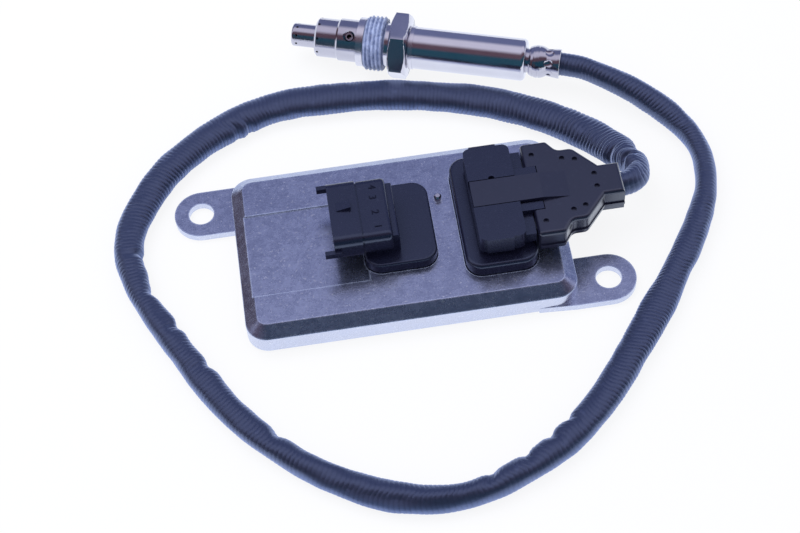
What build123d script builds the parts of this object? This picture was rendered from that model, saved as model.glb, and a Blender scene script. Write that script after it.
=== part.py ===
from build123d import *
import os
from math import atan, cos, degrees, pi, radians, sin, sqrt, tan

# Nitrogen oxide sensor for an exhaust pipe: a flat cast control unit, a sleeved cable and a screwed-in probe.
# X runs along the control unit towards the probe cable's plug, Y across it towards the probe, Z up.
# The origin is the centre of the control unit's underside.

# Control unit housing
body_length = 111.8
body_width = 67.5
body_corner = 7.5
wall_bottom = 1.0
rim_height = 7.6
top_height = 10.8
chamfer_inset = 4.2
edge_round = 0.5
top_wall = 2.5
side_wall = 2.5
seat_lip = 1.5
seat_height = 2.4
recess_depth = 0.5
recess_back_y = 14.8
recess_front_y = -18.5

# Fastening ears, one at each diagonal corner
ear_reach = 11.2
ear_inset = 8.55
ear_radius = 9.4
ear_thickness = 2.6
ear_hole_radius = 4.4
ear_root_run = 14.0

# Base plate and its seal
plate_thickness = 1.5
plate_clearance = 0.2
seal_width = 0.8

# Circuit board, held between the housing's bosses and the base plate's posts
board_margin = 1.5
board_bottom = 3.6
board_thickness = 1.6
board_corner = 2.0
boss_inset = 2.4
boss_radius = 2.3
chip_height = 1.4
controller_size = 12.0
driver_length = 7.5
driver_width = 6.0
coil_height = 2.6
coil_radius = 3.6
capacitor_pitch = 4.5
capacitor_count = 3
capacitor_length = 3.2
capacitor_width = 1.6

# Places of the parts on the board, counted from the middle of its left edge
controller_place = (8.5, 9.0)
driver_places = [(6.5, -8.5), (6.5, -15.5)]
coil_place = (6.5, -1.5)
capacitor_place = (13.3, -9.0)

# Both connectors stand on pads that come up through windows in the housing's top.
# Their places in X, and the plug's, are counted from the middle of the sensor header's pad.
connector_y = 0.5
header_inset = 23.9
pad_length = 24.4
pad_corner = 5.5
window_clearance = 0.25
flange_lip = 1.5
flange_thickness = 1.4
gasket_thickness = 1.0
gasket_clearance = 0.2

# Supply connector, its mouth towards -X
supply_x = -33.0
supply_pad_width = 33.0
supply_pad_top = 15.0
supply_pad_round = 0.8
collar_front_x = -55.0
collar_back_x = -45.4
collar_width = 26.2
collar_height = 10.1
collar_corner = 3.0
shroud_top = 26.5
shroud_step = 0.4
shroud_back_x = -35.2
shroud_end_round = 1.4
shroud_wall = 1.7
groove_width = 0.5
groove_depth = 0.4
socket_depth = 10.8
blade_recess = 4.5
blade_pitch = 5.4
blade_width = 2.8
blade_thickness = 0.8
blade_count = 4
blade_foot_x = -39.6
prong_reach = 3.3
prong_run = 2.4
prong_root = 0.3
prong_width = 1.6
prong_height = 2.2
ramp_length = 4.8
ramp_width = 3.4
ramp_height = 1.5
ramp_offset = 1.6
ramp_x = -52.6
ramp_sink = 0.3
ramp_start_share = 0.2
foot_front_x = -44.6
foot_half_width = 10.6
back_rib_x = -33.0
back_rib_half_width = 10.9
back_rib_top = 23.6
back_rib_round = 0.9
recess_end_x = -44.5

# Pin in the leak test hole, between the two connectors
vent_x = -17.4
vent_y = 10.7
vent_radius = 1.3
vent_stand = 2.1
vent_chamfer = 0.5

# Sensor connector header, open towards +X
header_pad_width = 46.6
header_pad_top = 15.9
header_pad_round = 1.3
header_left_x = -7.4
header_right_x = 11.9
block_right_x = 8.3
block_top = 25.2
block_bottom = 18.0
block_outer = 19.1
block_inner = 5.5
block_corner = 2.3
block_rib = 0.6
block_rib_start_x = -5.1
block_rib_end_x = 4.0
shelf_top = 22.0
shelf_half_width = 17.2
channel_floor = 22.5
plinth_half_width = 16.2
plinth_inset = 1.6
rail_inner = 5.7
rail_outer = 8.9
rail_bottom = 21.2
rail_top = 24.0
rail_end_x = 16.0
rail_root = 2.0
tongue_notch_x = 0.5
tongue_notch_radius = 1.1
tongue_notch_depth = 1.5
cavity_start_x = -3.0
cavity_bottom = 16.8
cavity_height = 4.2
cavity_half_width = 14.6
pin_count = 8
pin_pitch = 3.4
pin_width = 1.2
pin_thickness = 0.8
pin_foot_x = -5.2
pin_tip_x = 5.0

# Plug on the probe cable
plug_top = 23.8
plug_split = 17.8
plug_bottom = 15.0
plug_front_x = 12.3
plug_end_x = 43.9
plug_round = 1.3
cover_wall = 1.6
split_flange = 0.5
split_flange_height = 0.9
wing_half_width = 19.2
neck_half_width = 6.3
wing_end_x = 21.4
wing_corner = 1.4
shoulder_start_x = 24.4
shoulder_end_x = 29.6
shoulder_half_width = 14.9
shoulder_hollow = 3.0
shoulder_corner = 3.0
neck_start_x = 34.0
neck_blend_run = 3.0
neck_bottom = 13.8
notch_depth = 4.0
notch_clearance = 0.2
tongue_half_width = 5.2
tongue_slope_x = 16.4
tongue_root_x = 25.5
tongue_tip_x = -7.1
tongue_thickness = 1.6
tongue_rise = 1.4
tongue_gap = 0.4
marker_hole_radius = 0.95
marker_hole_depth = 0.9
marker_holes = [(15.6, 13.9), (25.5, 10.8), (29.7, 9.7), (35.0, 2.65)]
nose_clearance = 0.2
nose_front_x = -2.4
carrier_end_x = 22.0
carrier_gap = 0.1
contact_inset = 0.6
contact_length = 10.0
contact_width = 2.4
contact_height = 2.2
contact_play = 0.1
wire_radius = 0.7
plug_seal_x = 8.5
plug_seal_length = 1.8
plug_seal_depth = 0.6
shell_inset = 0.3
hollow_end_x = 34.0
neck_under_x = 33.0

# Cable sleeve
cable_diameter = 8.4
cable_clearance = 0.1
cable_z = 18.8
cable_start_x = 41.1
grommet_length = 6.0
grommet_wire_radius = 2.2

# Probe, lying with one flat of its hexagon on the table
hex_across_flats = 22.0
hex_length = 6.5
probe_x = 11.9
probe_y = 81.7
probe_turn = -18.8
thread_radius = 10.0
thread_length = 7.1
thread_chamfer = 1.0
relief_radius = 7.8
relief_length = 2.4
shell_radius = 6.0
shell_bore = 4.4
shell_lip = 0.5
shell_lip_radius = 3.4
nut_play = 0.1
nut_chamfer = 0.6
collar_radius = 8.9
collar_length = 2.5
collar_gap = 0.15
rear_ring_radius = 7.9
rear_ring_gap = 0.5
rear_ring_length = 1.4
spigot_length = 5.0
sleeve_radius = 7.6
sleeve_wall = 0.6
sleeve_length = 41.05
sleeve_end_round = 1.6
sleeve_hole_play = 0.1
outer_tube_radius = 7.7
outer_tube_step_radius = 7.1
outer_tube_length = 15.8
outer_tube_step = 8.0
outer_tube_blend = 0.7
tube_wall = 0.6
dimple_radius = 2.2
dimple_floor_radius = 1.3
dimple_hole_radius = 0.9
dimple_depth = 1.1
dimple_lap = 0.45
dimple_count = 3
dimple_back = 2.9
dimple_first_angle = 119.0
gas_hole_radius = 0.45
gas_hole_count = 8
outer_gas_hole_back = 1.3
nose_radius = 4.2
nose_length = 9.2
nose_wall = 0.5
nose_gas_hole_back = 2.0
nose_mouth_clearance = 0.05
nose_flange_radius = 5.6
nose_end_round = 0.8
ferrule_neck_radius = 4.4
ferrule_neck_length = 1.7
ferrule_length = 11.1
ferrule_shoulder = 5.0
ferrule_bulge = 5.9
ferrule_bulge_run = 3.1
ferrule_waist = 4.9
ferrule_waist_run = 6.4
ferrule_rim = 5.3
ferrule_rim_length = 0.8
ferrule_bore = 3.6
ferrule_mouth_depth = 1.5
ferrule_groove_runs = [1.6, 3.3]
ferrule_groove_width = 0.35
ferrule_groove_radius = 5.45
crimp_count = 8
crimp_radius = 2.2
crimp_ring = 6.6
crimp_run = 7.3

# Inside the probe
element_width = 4.2
element_thickness = 1.3
element_play = 0.1
element_front = -36.0
element_end = 22.0
front_insulator_end = -8.0
talc_end = -2.0
rear_insulator_end = 10.0
contact_holder_start = 12.0
contact_holder_end = 25.0
contact_holder_radius = 5.6
probe_grommet_start = 35.0

# Route of the cable, from the plug's neck to the probe's ferrule, chosen from the photograph.
# The fold's X is counted from the header's pad. The loop was chosen for ears that reach as far out
# as chosen_reach says, and keeps its distance from them.
cable_fold = [
    (cable_start_x, connector_y, cable_z),
    (46.0, connector_y, cable_z),
    (50.4, 2.8, 18.0),
    (53.0, 6.9, 16.2),
    (53.2, 11.7, 13.6),
    (51.1, 16.9, 10.4),
    (46.0, 23.8, 6.4),
]
chosen_reach = 76.5
cable_loop = [
    (69.0, 33.8, 4.3),
    (55.5, 46.0, 4.2),
    (38.0, 56.5, 4.2),
    (16.0, 63.6, 4.2),
    (-9.0, 67.6, 4.2),
    (-33.0, 67.8, 4.2),
    (-54.0, 61.0, 4.2),
    (-70.5, 50.5, 4.2),
    (-83.5, 36.0, 4.2),
    (-92.0, 17.5, 4.2),
    (-91.5, -2.0, 4.2),
    (-83.5, -20.5, 4.2),
    (-73.0, -40.0, 4.2),
    (-60.0, -60.0, 4.2),
    (-43.0, -78.0, 4.2),
    (-21.0, -92.5, 4.2),
    (3.0, -99.5, 4.2),
    (25.0, -94.8, 4.2),
    (44.5, -83.0, 4.2),
    (59.5, -67.5, 4.2),
    (72.0, -51.0, 4.2),
    (84.5, -33.5, 4.2),
    (97.0, -15.5, 4.2),
    (107.0, 4.0, 4.2),
    (109.5, 23.5, 4.4),
]
cable_rise = [
    (101.5, 39.0, 5.8),
    (91.0, 49.5, 8.4),
    (80.0, 57.3, 10.6),
]
last_run = 7.0

os.makedirs("parts", exist_ok=True)

# Places and heights that follow from the housing, and the board that follows from its inside
ear_x = body_length / 2 + ear_reach
ear_y = body_width / 2 - ear_inset
header_x = body_length / 2 - header_inset
ceiling = top_height - top_wall
gasket_bottom = ceiling - gasket_thickness
flange_bottom = gasket_bottom - flange_thickness
board_top = board_bottom + board_thickness
board_length = body_length - 2 * (side_wall + board_margin)
board_width = body_width - 2 * (side_wall + board_margin)
boss_x = board_length / 2 - boss_inset
boss_y = board_width / 2 - boss_inset
blade_z = shroud_top - collar_height / 2
pin_z = cavity_bottom + cavity_height / 2


def centred(x, y):
    """A place in the connectors' shared frame, y across from their centre line."""
    return (header_x + x, connector_y + y)


def cross_plane(x):
    """The plane across the connectors there, its own x across from their centre line and its y pointing up."""
    return Plane(origin=(header_x + x, connector_y, 0), x_dir=(0, 1, 0), z_dir=(1, 0, 0))


def side_plane(y):
    """The plane along the connectors there, its own x in their frame and its y pointing up."""
    return Plane(origin=(header_x, connector_y + y, 0), x_dir=(1, 0, 0), z_dir=(0, -1, 0))


def near(items, x):
    """The faces, edges or vertices at that place along the connectors."""
    return items.filter_by_position(Axis.X, header_x + x - 0.01, header_x + x + 0.01)


def save(part, node_name):
    part.label = node_name
    export_step(part, f"parts/{node_name}.step")


def plate_outline(inset):
    """The housing's plan outline, set in by the given distance."""
    RectangleRounded(body_length - 2 * inset, body_width - 2 * inset, body_corner - inset)


def pad_outline(centre_x, width, margin):
    """A connector pad's plan outline, grown by the given margin."""
    with Locations(centred(centre_x, 0)):
        RectangleRounded(pad_length + 2 * margin, width + 2 * margin, pad_corner + margin)


def block(x_range, y_range, z_range, mode=Mode.ADD):
    """A box between the given limits, y counted from the connectors' centre line."""
    with BuildSketch(Plane.XY.offset(z_range[0])) as outline:
        with Locations(centred(sum(x_range) / 2, sum(y_range) / 2)):
            Rectangle(x_range[1] - x_range[0], y_range[1] - y_range[0])
    extrude(outline.sketch, amount=z_range[1] - z_range[0], mode=mode)


def mirrored_block(x_range, y_range, z_range, mode=Mode.ADD):
    """The same box on both sides of the connectors' centre line."""
    block(x_range, y_range, z_range, mode)
    block(x_range, (-y_range[1], -y_range[0]), z_range, mode)


# Housing, one aluminium casting with the ears
with BuildPart() as housing:
    with BuildSketch(Plane.XY.offset(wall_bottom)):
        plate_outline(0)
    extrude(amount=rim_height - wall_bottom)
    with BuildSketch(Plane.XY.offset(rim_height)):
        plate_outline(0)
    extrude(amount=top_height - rim_height, taper=degrees(atan(chamfer_inset / (top_height - rim_height))))
    fillet(housing.edges().group_by(Axis.Z)[-1], edge_round)
    fillet(housing.edges().filter_by_position(Axis.Z, rim_height - 0.01, rim_height + 0.01), edge_round)
    # Ears, whose outer edge runs into the side wall
    with BuildSketch():
        for side in (-1, 1):
            wall_x = side * body_length / 2
            root_x = wall_x - side * ear_root_run
            outer_y = -side * (ear_y + ear_radius)
            inner_y = -side * (ear_y - ear_radius)
            with Locations((side * ear_x, -side * ear_y)):
                Circle(ear_radius)
            with BuildLine():
                Polyline(
                    (side * ear_x, outer_y),
                    (wall_x - side, outer_y),
                    (root_x, -side * body_width / 2),
                    (root_x, inner_y),
                    (side * ear_x, inner_y),
                    close=True,
                )
            make_face()
    extrude(amount=ear_thickness)
    with Locations((-ear_x, ear_y, ear_thickness), (ear_x, -ear_y, ear_thickness)):
        Hole(ear_hole_radius)
    # Inside, open at the bottom, with a lip that takes the base plate
    with BuildSketch():
        plate_outline(seat_lip)
    extrude(amount=seat_height, mode=Mode.SUBTRACT)
    with BuildSketch(Plane.XY.offset(seat_height)):
        plate_outline(side_wall)
    extrude(amount=ceiling - seat_height, mode=Mode.SUBTRACT)
    with BuildSketch(Plane.XY.offset(board_top)):
        with GridLocations(2 * boss_x, 2 * boss_y, 2, 2):
            Circle(boss_radius)
    extrude(amount=ceiling - board_top)
    # Shallow recess under the supply connector's mating plug
    block(
        (-body_length / 2 - header_x, recess_end_x),
        (recess_front_y, recess_back_y),
        (top_height - recess_depth, top_height),
        Mode.SUBTRACT,
    )
    # Windows for the two connector pads
    with BuildSketch(Plane.XY.offset(ceiling)):
        pad_outline(supply_x, supply_pad_width, window_clearance)
        pad_outline(0, header_pad_width, window_clearance)
        with Locations(centred(vent_x, vent_y)):
            Circle(vent_radius)
    extrude(amount=top_wall, mode=Mode.SUBTRACT)
save(housing.part, "housing")

# Pin pressed into the leak test hole
with BuildPart() as vent_pin:
    with BuildSketch(Plane.XY.offset(ceiling)):
        with Locations(centred(vent_x, vent_y)):
            Circle(vent_radius)
    extrude(amount=top_wall + vent_stand)
    chamfer(vent_pin.faces().sort_by(Axis.Z)[-1].edges(), vent_chamfer)
save(vent_pin.part, "vent_pin")

# Base plate with posts that hold the board up against the bosses
with BuildPart() as base_plate:
    with BuildSketch():
        plate_outline(seat_lip + plate_clearance)
    extrude(amount=plate_thickness)
    with BuildSketch(Plane.XY.offset(plate_thickness)):
        with GridLocations(2 * boss_x, 2 * boss_y, 2, 2):
            Circle(boss_radius)
    extrude(amount=board_bottom - plate_thickness)
save(base_plate.part, "base_plate")

# Seal between the base plate and the lip
with BuildPart() as base_seal:
    with BuildSketch(Plane.XY.offset(plate_thickness)):
        plate_outline(seat_lip + plate_clearance)
        with BuildSketch(mode=Mode.SUBTRACT):
            plate_outline(seat_lip + plate_clearance + seal_width)
    extrude(amount=seat_height - plate_thickness)
save(base_seal.part, "base_seal")


def pin_rows(count, pitch):
    """Distances of a row of pins from the connectors' centre line."""
    return [(index - (count - 1) / 2) * pitch for index in range(count)]


# Four bent blades of the supply connector
with BuildPart() as supply_pins:
    for y in pin_rows(blade_count, blade_pitch):
        width = (y - blade_width / 2, y + blade_width / 2)
        tip = collar_front_x + blade_recess
        block((tip, blade_foot_x), width, (blade_z - blade_thickness / 2, blade_z + blade_thickness / 2))
        block((blade_foot_x - blade_thickness, blade_foot_x), width, (board_bottom, blade_z))
save(supply_pins.part, "supply_pins")

# Eight bent pins of the sensor connector
with BuildPart() as sensor_header_pins:
    for y in pin_rows(pin_count, pin_pitch):
        width = (y - pin_width / 2, y + pin_width / 2)
        block((pin_foot_x, pin_tip_x), width, (pin_z - pin_thickness / 2, pin_z + pin_thickness / 2))
        block((pin_foot_x, pin_foot_x + pin_thickness), width, (board_bottom, pin_z))
save(sensor_header_pins.part, "sensor_header_pins")

# Circuit board
with BuildPart() as circuit_board:
    with BuildSketch(Plane.XY.offset(board_bottom)):
        RectangleRounded(board_length, board_width, board_corner)
    extrude(amount=board_thickness)
    for y in pin_rows(blade_count, blade_pitch):
        width = (y - blade_width / 2, y + blade_width / 2)
        block((blade_foot_x - blade_thickness, blade_foot_x), width, (board_bottom, board_top), Mode.SUBTRACT)
    for y in pin_rows(pin_count, pin_pitch):
        width = (y - pin_width / 2, y + pin_width / 2)
        block((pin_foot_x, pin_foot_x + pin_thickness), width, (board_bottom, board_top), Mode.SUBTRACT)
save(circuit_board.part, "circuit_board")

# Parts soldered to the board: controller, two drivers, a coil and a row of capacitors
with BuildPart() as board_components:
    with BuildSketch(Plane.XY.offset(board_top)):
        with Locations((-board_length / 2, 0)):
            with Locations(controller_place):
                Rectangle(controller_size, controller_size)
            with Locations(*driver_places):
                Rectangle(driver_length, driver_width)
    extrude(amount=chip_height)
    with BuildSketch(Plane.XY.offset(board_top)):
        with Locations((-board_length / 2, 0)):
            with Locations(coil_place):
                Circle(coil_radius)
            with Locations(capacitor_place):
                with GridLocations(0, capacitor_pitch, 1, capacitor_count):
                    Rectangle(capacitor_width, capacitor_length)
    extrude(amount=coil_height)
save(board_components.part, "board_components")

# Supply connector, one moulding from its inner flange to its shroud
with BuildPart() as supply_header:
    with BuildSketch(Plane.XY.offset(flange_bottom)):
        pad_outline(supply_x, supply_pad_width, flange_lip)
    extrude(amount=flange_thickness)
    with BuildSketch(Plane.XY.offset(gasket_bottom)):
        pad_outline(supply_x, supply_pad_width, 0)
    extrude(amount=supply_pad_top - gasket_bottom)
    fillet(supply_header.faces().sort_by(Axis.Z)[-1].edges(), supply_pad_round)
    # Collar, a narrow groove, then the body behind it, a little smaller all round
    groove_end_x = collar_back_x + groove_width
    for start_x, end_x, inset in (
        (collar_front_x, collar_back_x, 0),
        (collar_back_x, groove_end_x, shroud_step + groove_depth),
        (groove_end_x, shroud_back_x, shroud_step),
    ):
        with BuildSketch(cross_plane(start_x)):
            with Locations((0, blade_z)):
                RectangleRounded(collar_width - 2 * inset, collar_height - 2 * inset, collar_corner - inset)
        extrude(amount=end_x - start_x)
    fillet(near(supply_header.faces(), shroud_back_x).sort_by(SortBy.AREA)[-1].edges(), shroud_end_round)
    # Foot down to the pad, and the low rounded rib behind the body
    block(
        (foot_front_x, shroud_back_x),
        (-foot_half_width, foot_half_width),
        (supply_pad_top - supply_pad_round, blade_z),
    )
    block(
        (shroud_back_x - shroud_end_round, back_rib_x),
        (-back_rib_half_width, back_rib_half_width),
        (supply_pad_top - supply_pad_round, back_rib_top),
    )
    rib_edges = near(supply_header.edges().filter_by(Axis.Y), back_rib_x)
    fillet(rib_edges.sort_by(Axis.Z)[-1], back_rib_round)
    # Socket
    with BuildSketch(cross_plane(collar_front_x)):
        with Locations((0, blade_z)):
            RectangleRounded(
                collar_width - 2 * shroud_wall, collar_height - 2 * shroud_wall, collar_corner - shroud_wall
            )
    extrude(amount=socket_depth, mode=Mode.SUBTRACT)
    # Guide prongs at both corners of the mouth
    mirrored_block(
        (collar_front_x - prong_reach, collar_front_x + prong_run),
        (collar_width / 2 - prong_root, collar_width / 2 - prong_root + prong_width),
        (blade_z - prong_height / 2, blade_z + prong_height / 2),
    )
    # Lock ramp on top of the collar, its steep end away from the mouth
    with BuildSketch(side_plane(ramp_offset - ramp_width / 2)):
        with BuildLine():
            Polyline(
                (ramp_x, shroud_top - ramp_sink),
                (ramp_x, shroud_top + ramp_height * ramp_start_share),
                (ramp_x + ramp_length, shroud_top + ramp_height),
                (ramp_x + ramp_length, shroud_top - ramp_sink),
                close=True,
            )
        make_face()
    extrude(amount=-ramp_width)
    add(supply_pins.part, mode=Mode.SUBTRACT)
save(supply_header.part, "supply_header")

# Gaskets between the connectors' inner flanges and the housing's top
with BuildPart() as supply_gasket:
    with BuildSketch(Plane.XY.offset(gasket_bottom)):
        pad_outline(supply_x, supply_pad_width, flange_lip)
        with BuildSketch(mode=Mode.SUBTRACT):
            pad_outline(supply_x, supply_pad_width, gasket_clearance)
    extrude(amount=gasket_thickness)
save(supply_gasket.part, "supply_gasket")

with BuildPart() as sensor_gasket:
    with BuildSketch(Plane.XY.offset(gasket_bottom)):
        pad_outline(0, header_pad_width, flange_lip)
        with BuildSketch(mode=Mode.SUBTRACT):
            pad_outline(0, header_pad_width, gasket_clearance)
    extrude(amount=gasket_thickness)
save(sensor_gasket.part, "sensor_gasket")

# Sensor connector header: pad, two tall blocks and the low shelf that the plug closes on
with BuildPart() as sensor_header:
    with BuildSketch(Plane.XY.offset(flange_bottom)):
        pad_outline(0, header_pad_width, flange_lip)
    extrude(amount=flange_thickness)
    with BuildSketch(Plane.XY.offset(gasket_bottom)):
        pad_outline(0, header_pad_width, 0)
    extrude(amount=header_pad_top - gasket_bottom)
    fillet(sensor_header.faces().sort_by(Axis.Z)[-1].edges(), header_pad_round)
    block(
        (header_left_x + plinth_inset, header_right_x - header_pad_round),
        (-plinth_half_width, plinth_half_width),
        (header_pad_top - header_pad_round, block_bottom),
    )
    block((header_left_x, header_right_x), (-shelf_half_width, shelf_half_width), (block_bottom, shelf_top))
    block((header_left_x, header_right_x), (-block_inner, block_inner), (block_bottom, channel_floor))
    # Tall blocks with rounded corners
    for side in (-1, 1):
        with BuildSketch(Plane.XY.offset(block_bottom)) as block_plan:
            with Locations(centred((header_left_x + block_right_x) / 2, side * (block_outer + block_inner) / 2)):
                Rectangle(block_right_x - header_left_x, block_outer - block_inner)
            fillet(block_plan.vertices().group_by(Axis.Y)[0 if side < 0 else -1], block_corner)
        extrude(amount=block_top - block_bottom)
    mirrored_block(
        (block_rib_start_x, block_rib_end_x),
        (block_outer - block_corner, block_outer + block_rib),
        (block_bottom, block_top),
    )
    mirrored_block((block_right_x - rail_root, rail_end_x), (rail_inner, rail_outer), (rail_bottom, rail_top))
    # Socket for the plug's nose
    block(
        (cavity_start_x, header_right_x),
        (-cavity_half_width, cavity_half_width),
        (cavity_bottom, cavity_bottom + cavity_height),
        Mode.SUBTRACT,
    )
    # Half-round notch in the edge of the back block
    with BuildSketch(Plane.XY.offset(block_top - tongue_notch_depth)):
        with Locations(centred(tongue_notch_x, block_inner)):
            Circle(tongue_notch_radius)
    extrude(amount=tongue_notch_depth, mode=Mode.SUBTRACT)
    add(sensor_header_pins.part, mode=Mode.SUBTRACT)
save(sensor_header.part, "sensor_header")


def plug_outline(inset=0.0, front_x=plug_front_x):
    """The plug's plan outline: wings, shoulders and neck, set in by the given distance."""
    half = [
        (front_x, wing_half_width - inset),
        (wing_end_x, wing_half_width - inset),
        (shoulder_start_x, shoulder_half_width - inset),
        (shoulder_end_x, shoulder_half_width - inset),
        (neck_start_x + neck_blend_run, neck_half_width - inset),
        (plug_end_x, neck_half_width - inset),
    ]
    other_half = [(x, -y) for x, y in reversed(half)]
    with BuildSketch(mode=Mode.PRIVATE) as outline:
        with BuildLine():
            Polyline(*[centred(x, y) for x, y in half + other_half], close=True)
        make_face()
        fillet(near(outline.vertices(), front_x) + near(outline.vertices(), wing_end_x), wing_corner)
        fillet(near(outline.vertices(), shoulder_start_x), shoulder_hollow)
        fillet(near(outline.vertices(), shoulder_end_x), shoulder_corner)
    add(outline.sketch)


def neck_bore(start_x, end_x, radius, mode):
    """A round piece or bore on the cable's line through the plug's neck."""
    with BuildSketch(cross_plane(start_x)) as section:
        with Locations((0, cable_z)):
            Circle(radius)
    extrude(section.sketch, amount=end_x - start_x, mode=mode)


carrier_half_width = cavity_half_width - nose_clearance
carrier_bottom = cavity_bottom + nose_clearance
carrier_top = cavity_bottom + cavity_height - nose_clearance
neck_bore_radius = cable_diameter / 2 + cable_clearance
notch_end_x = plug_front_x + notch_depth
tongue_top = plug_top + tongue_rise

# Plug cover with its two shoulders, the locking tongue that rises out of it and eight blind holes
with BuildPart() as plug_cover:
    with BuildSketch(Plane.XY.offset(plug_split)):
        plug_outline()
    extrude(amount=plug_top - plug_split)
    fillet(plug_cover.faces().sort_by(Axis.Z)[-1].edges(), plug_round)
    with BuildSketch(Plane.XY.offset(plug_split)) as cover_hollow:
        plug_outline(cover_wall)
        with Locations(centred((plug_front_x + cover_wall + hollow_end_x) / 2, 0)):
            Rectangle(hollow_end_x - plug_front_x - cover_wall, 2 * wing_half_width, mode=Mode.INTERSECT)
    extrude(amount=plug_top - cover_wall - plug_split, mode=Mode.SUBTRACT)
    # Front opening for the contact carrier, and room around the tongue
    block(
        (plug_front_x, plug_front_x + cover_wall),
        (-carrier_half_width - carrier_gap, carrier_half_width + carrier_gap),
        (plug_split, carrier_top + carrier_gap),
        Mode.SUBTRACT,
    )
    block(
        (plug_front_x, notch_end_x),
        (-tongue_half_width - tongue_gap, tongue_half_width + tongue_gap),
        (carrier_top + carrier_gap, plug_top),
        Mode.SUBTRACT,
    )
    mirrored_block(
        (plug_front_x, notch_end_x),
        (rail_inner - notch_clearance, rail_outer + notch_clearance),
        (carrier_top + carrier_gap, plug_top),
        Mode.SUBTRACT,
    )
    with BuildSketch(side_plane(-tongue_half_width)):
        with BuildLine():
            Polyline(
                (tongue_root_x, plug_top),
                (tongue_slope_x, tongue_top),
                (tongue_tip_x, tongue_top),
                (tongue_tip_x, tongue_top - tongue_thickness),
                (tongue_slope_x, tongue_top - tongue_thickness),
                (tongue_root_x, plug_top - tongue_thickness),
                close=True,
            )
        make_face()
    extrude(amount=-2 * tongue_half_width)
    for x, y in marker_holes:
        with BuildSketch(Plane.XY.offset(plug_top - marker_hole_depth)):
            with Locations(centred(x, y), centred(x, -y)):
                Circle(marker_hole_radius)
        extrude(amount=marker_hole_depth, mode=Mode.SUBTRACT)
    neck_bore(hollow_end_x - cover_wall, plug_end_x, neck_bore_radius, Mode.SUBTRACT)
save(plug_cover.part, "plug_cover")

# Contacts in the plug, one for each pin of the header
contact_start_x = nose_front_x + contact_inset
with BuildPart() as plug_contacts:
    for y in pin_rows(pin_count, pin_pitch):
        block(
            (contact_start_x, contact_start_x + contact_length),
            (y - contact_width / 2, y + contact_width / 2),
            (pin_z - contact_height / 2, pin_z + contact_height / 2),
        )
        block(
            (contact_start_x, pin_tip_x + 2 * contact_play),
            (y - pin_width / 2 - contact_play, y + pin_width / 2 + contact_play),
            (pin_z - pin_thickness / 2 - contact_play, pin_z + pin_thickness / 2 + contact_play),
            Mode.SUBTRACT,
        )
save(plug_contacts.part, "plug_contacts")

# Seal ring on the plug's nose
seal_front_x = plug_seal_x - plug_seal_length / 2
seal_back_x = plug_seal_x + plug_seal_length / 2
with BuildPart() as plug_seal:
    block(
        (seal_front_x, seal_back_x),
        (-cavity_half_width, cavity_half_width),
        (cavity_bottom, cavity_bottom + cavity_height),
    )
    block(
        (seal_front_x, seal_back_x),
        (-carrier_half_width + plug_seal_depth, carrier_half_width - plug_seal_depth),
        (carrier_bottom + plug_seal_depth, carrier_top - plug_seal_depth),
        Mode.SUBTRACT,
    )
save(plug_seal.part, "plug_seal")

# Lower shell of the plug with the contact carrier
with BuildPart() as plug_body:
    with BuildSketch(Plane.XY.offset(plug_bottom)):
        plug_outline(shell_inset)
    extrude(amount=plug_split - plug_bottom)
    with BuildSketch(Plane.XY.offset(plug_split - split_flange_height)):
        plug_outline(-split_flange)
    extrude(amount=split_flange_height)
    block(
        (neck_under_x, plug_end_x),
        (-neck_half_width + shell_inset, neck_half_width - shell_inset),
        (neck_bottom, plug_split),
    )
    with BuildSketch(Plane.XY.offset(plug_bottom + cover_wall)) as shell_hollow:
        plug_outline(shell_inset + cover_wall)
        with Locations(centred((carrier_end_x + hollow_end_x) / 2, 0)):
            Rectangle(hollow_end_x - carrier_end_x, 2 * wing_half_width, mode=Mode.INTERSECT)
    extrude(amount=plug_split - plug_bottom - cover_wall, mode=Mode.SUBTRACT)
    block((nose_front_x, carrier_end_x), (-carrier_half_width, carrier_half_width), (carrier_bottom, carrier_top))
    block(
        (seal_front_x, seal_back_x),
        (-carrier_half_width, carrier_half_width),
        (carrier_bottom, carrier_top),
        Mode.SUBTRACT,
    )
    block(
        (seal_front_x, seal_back_x),
        (-carrier_half_width + plug_seal_depth, carrier_half_width - plug_seal_depth),
        (carrier_bottom + plug_seal_depth, carrier_top - plug_seal_depth),
    )
    for y in pin_rows(pin_count, pin_pitch):
        block(
            (contact_start_x, contact_start_x + contact_length),
            (y - contact_width / 2, y + contact_width / 2),
            (pin_z - contact_height / 2, pin_z + contact_height / 2),
            Mode.SUBTRACT,
        )
        block(
            (nose_front_x, contact_start_x),
            (y - pin_width / 2 - contact_play, y + pin_width / 2 + contact_play),
            (pin_z - pin_thickness / 2 - contact_play, pin_z + pin_thickness / 2 + contact_play),
            Mode.SUBTRACT,
        )
    with BuildSketch(cross_plane(contact_start_x + contact_length)):
        with Locations(*[(y, pin_z) for y in pin_rows(pin_count, pin_pitch)]):
            Circle(wire_radius)
    extrude(amount=carrier_end_x - contact_start_x - contact_length, mode=Mode.SUBTRACT)
    neck_bore(hollow_end_x - cover_wall, plug_end_x, neck_bore_radius, Mode.SUBTRACT)
save(plug_body.part, "plug_body")

# Rubber grommet in the plug's neck, which the cable sleeve butts against
with BuildPart() as neck_grommet:
    neck_bore(cable_start_x - grommet_length, cable_start_x, neck_bore_radius, Mode.ADD)
    neck_bore(cable_start_x - grommet_length, cable_start_x, grommet_wire_radius, Mode.SUBTRACT)
save(neck_grommet.part, "neck_grommet")

# Directions of the probe
turn = radians(probe_turn)
probe_height = hex_across_flats / 2


def along_probe(distance):
    """A point on the probe's axis, counted from the hexagon's centre towards the cable."""
    return (probe_x + distance * cos(turn), probe_y + distance * sin(turn), probe_height)


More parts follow.
